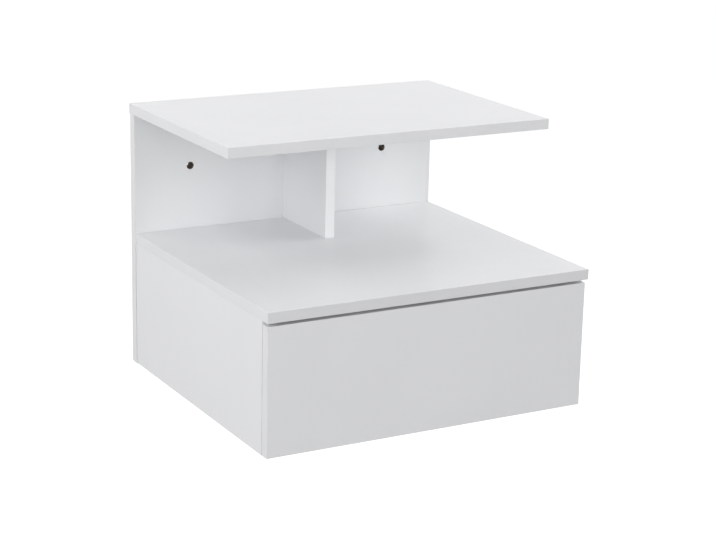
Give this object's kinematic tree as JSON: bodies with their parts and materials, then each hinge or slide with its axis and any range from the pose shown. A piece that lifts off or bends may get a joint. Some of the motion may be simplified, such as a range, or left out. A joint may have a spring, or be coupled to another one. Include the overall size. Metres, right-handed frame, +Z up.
{
  "type": "wall cabinet",
  "caption": "Wall-hung bedside cabinet with a short top shelf and a middle divider over a deck, and a handle-less drawer on roller runners below.",
  "frame": {"origin": "on the rear face that lies on the wall, at the middle of its lower edge", "axes": "+X to the viewer's right, +Y into the wall, so the drawer opens towards -Y, +Z up"},
  "size_m": [0.403, 0.364, 0.314],
  "materials": {
    "white_board": "white melamine faced chipboard with white edge bands, semi-matt",
    "white_sheet": "white lacquered hardboard sheet, raw underneath",
    "white_steel": "white powder-coated rolled steel",
    "white_nylon": "off-white moulded nylon",
    "zinc_steel": "bright zinc-plated steel",
    "cast_zinc": "tumbled zinc casting",
    "beech_wood": "raw turned beech"
  },
  "bodies": {
    "cabinet": {"back_panel": "white_board", "top_shelf": "white_board", "divider": "white_board", "deck": "white_board", "left_side": "white_board", "right_side": "white_board", "bottom_board": "white_board", "left_cabinet_runner": "white_steel", "right_cabinet_runner": "white_steel", "front_roller_rivets": "zinc_steel", "back_screws": "zinc_steel", "divider_screws": "zinc_steel", "cabinet_cams": "cast_zinc", "cabinet_cam_bolts": "zinc_steel", "cabinet_dowels": "beech_wood", "cabinet_runner_screws": "zinc_steel"},
    "drawer": {"drawer_front": "white_board", "drawer_left_side": "white_board", "drawer_right_side": "white_board", "drawer_back": "white_board", "drawer_bottom": "white_sheet", "left_drawer_runner": "white_steel", "right_drawer_runner": "white_steel", "rear_roller_rivets": "zinc_steel", "drawer_cams": "cast_zinc", "drawer_cam_bolts": "zinc_steel", "drawer_dowels": "beech_wood", "drawer_back_screws": "zinc_steel", "drawer_bottom_screws": "zinc_steel", "drawer_runner_screws": "zinc_steel"},
    "left_front_roller": {"left_front_roller": "white_nylon"},
    "right_front_roller": {"right_front_roller": "white_nylon"},
    "left_rear_roller": {"left_rear_roller": "white_nylon"},
    "right_rear_roller": {"right_rear_roller": "white_nylon"}
  },
  "joints": [
    {"name": "drawer_slide", "type": "slide", "parent": "cabinet", "child": "drawer", "axis": [0, -1, 0], "range_m": [0, 0.225]},
    {"name": "left_front_roller_turn", "type": "hinge", "parent": "cabinet", "child": "left_front_roller", "pos_m": [-0.18255, -0.333, 0.0326], "axis": [1, 0, 0], "range_deg": [0, 1612]},
    {"name": "left_rear_roller_turn", "type": "hinge", "parent": "drawer", "child": "left_rear_roller", "pos_m": [-0.18095, -0.064, 0.0322], "axis": [1, 0, 0], "range_deg": [0, 1612]},
    {"name": "right_front_roller_turn", "type": "hinge", "parent": "cabinet", "child": "right_front_roller", "pos_m": [0.18255, -0.333, 0.0326], "axis": [1, 0, 0], "range_deg": [0, 1612]},
    {"name": "right_rear_roller_turn", "type": "hinge", "parent": "drawer", "child": "right_rear_roller", "pos_m": [0.18095, -0.064, 0.0322], "axis": [1, 0, 0], "range_deg": [0, 1612]}
  ],
  "couplings": [
    {"joint": "left_front_roller_turn", "follows": "drawer_slide", "rad_per_m": 125},
    {"joint": "left_rear_roller_turn", "follows": "drawer_slide", "rad_per_m": 125},
    {"joint": "right_front_roller_turn", "follows": "drawer_slide", "rad_per_m": 125},
    {"joint": "right_rear_roller_turn", "follows": "drawer_slide", "rad_per_m": 125}
  ]
}
